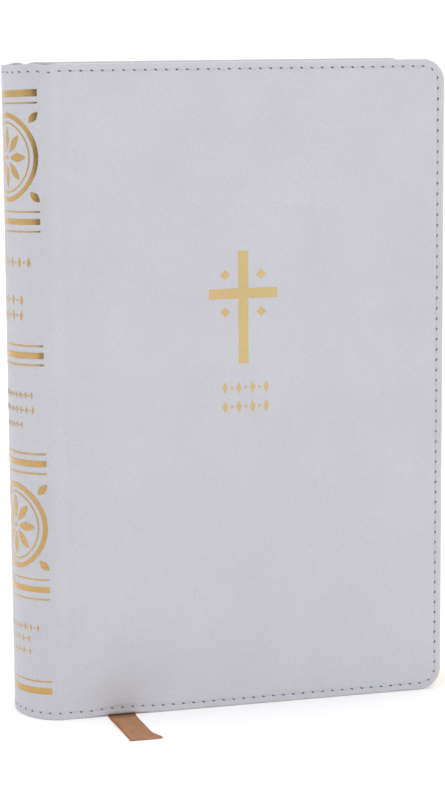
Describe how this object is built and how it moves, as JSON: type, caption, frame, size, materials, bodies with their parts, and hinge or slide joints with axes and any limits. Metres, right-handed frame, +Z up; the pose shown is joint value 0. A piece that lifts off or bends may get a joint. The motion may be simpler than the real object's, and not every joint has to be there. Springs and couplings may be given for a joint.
{
  "type": "bible",
  "caption": "Upright bible in a soft, edge-stitched white leather case with a round spine, opening covers, fanning page sections, sewn bands and a ribbon marker.",
  "frame": {"origin": "under the middle of the closed book, at the level it stands on", "axes": "+Z up along the spine, towards the head; +X towards the fore edge; +Y towards the back cover"},
  "size_m": [0.156, 0.0693, 0.231],
  "materials": {
    "leather": "soft white leather, satin, fine grain",
    "board": "thin flexible card",
    "endpaper": "matt ivory paper",
    "page_edges": "thin paper, gilt on three edges",
    "mull": "open-weave cotton",
    "glue": "folded paper set in glue",
    "band_thread": "two-colour silk headband",
    "ribbon": "tan satin, double-faced",
    "gold_foil": "hot-stamped matt gold foil",
    "thread": "white bonded thread"
  },
  "bodies": {
    "binding": {"spine_leather": "leather", "spine_inlay": "board", "sewn_back": "glue", "mull_cloth": "mull", "spine_lining": "endpaper", "head_band": "band_thread", "tail_band": "band_thread", "page_section_4": "page_edges", "page_section_5": "page_edges", "ribbon_marker": "ribbon", "ribbon_tail": "ribbon"},
    "front_cover": {"front_cover_leather": "leather", "front_cover_board": "board", "front_pastedown": "endpaper"},
    "back_cover": {"back_cover_leather": "leather", "back_cover_board": "board", "back_pastedown": "endpaper"},
    "front_flyleaf": {"front_flyleaf": "endpaper"},
    "back_flyleaf": {"back_flyleaf": "endpaper"},
    "page_section_1": {"page_section_1": "page_edges"},
    "page_section_2": {"page_section_2": "page_edges"},
    "page_section_3": {"page_section_3": "page_edges"},
    "page_section_8": {"page_section_8": "page_edges"},
    "page_section_7": {"page_section_7": "page_edges"},
    "page_section_6": {"page_section_6": "page_edges"}
  },
  "joints": [
    {"name": "front_cover_hinge", "type": "hinge", "parent": "binding", "child": "front_cover", "pos_m": [-0.0633, -0.0192, 0.1155], "axis": [0, 0, -1], "range_deg": [0, 180]},
    {"name": "front_flyleaf_turn", "type": "hinge", "parent": "binding", "child": "front_flyleaf", "pos_m": [-0.0633, -0.0192, 0.1155], "axis": [0, 0, -1], "range_deg": [0, 174.7]},
    {"name": "page_section_1_turn", "type": "hinge", "parent": "binding", "child": "page_section_1", "pos_m": [-0.0633, -0.0192, 0.1155], "axis": [0, 0, -1], "range_deg": [0, 165.7]},
    {"name": "page_section_2_turn", "type": "hinge", "parent": "binding", "child": "page_section_2", "pos_m": [-0.0633, -0.0192, 0.1155], "axis": [0, 0, -1], "range_deg": [0, 154.9]},
    {"name": "page_section_3_turn", "type": "hinge", "parent": "binding", "child": "page_section_3", "pos_m": [-0.0633, -0.0192, 0.1155], "axis": [0, 0, -1], "range_deg": [0, 144.1]},
    {"name": "back_cover_hinge", "type": "hinge", "parent": "binding", "child": "back_cover", "pos_m": [-0.0633, 0.0192, 0.1155], "axis": [0, 0, 1], "range_deg": [0, 180]},
    {"name": "back_flyleaf_turn", "type": "hinge", "parent": "binding", "child": "back_flyleaf", "pos_m": [-0.0633, 0.0192, 0.1155], "axis": [0, 0, 1], "range_deg": [0, 174.7]},
    {"name": "page_section_8_turn", "type": "hinge", "parent": "binding", "child": "page_section_8", "pos_m": [-0.0633, 0.0192, 0.1155], "axis": [0, 0, 1], "range_deg": [0, 165.7]},
    {"name": "page_section_7_turn", "type": "hinge", "parent": "binding", "child": "page_section_7", "pos_m": [-0.0633, 0.0192, 0.1155], "axis": [0, 0, 1], "range_deg": [0, 154.9]},
    {"name": "page_section_6_turn", "type": "hinge", "parent": "binding", "child": "page_section_6", "pos_m": [-0.0633, 0.0192, 0.1155], "axis": [0, 0, 1], "range_deg": [0, 144.1]}
  ],
  "couplings": [
    {"joint": "front_flyleaf_turn", "follows": "front_cover_hinge", "ratio": 0.97},
    {"joint": "page_section_1_turn", "follows": "front_cover_hinge", "ratio": 0.92},
    {"joint": "page_section_2_turn", "follows": "front_cover_hinge", "ratio": 0.86},
    {"joint": "page_section_3_turn", "follows": "front_cover_hinge", "ratio": 0.8},
    {"joint": "back_flyleaf_turn", "follows": "back_cover_hinge", "ratio": 0.97},
    {"joint": "page_section_8_turn", "follows": "back_cover_hinge", "ratio": 0.92},
    {"joint": "page_section_7_turn", "follows": "back_cover_hinge", "ratio": 0.86},
    {"joint": "page_section_6_turn", "follows": "back_cover_hinge", "ratio": 0.8}
  ]
}
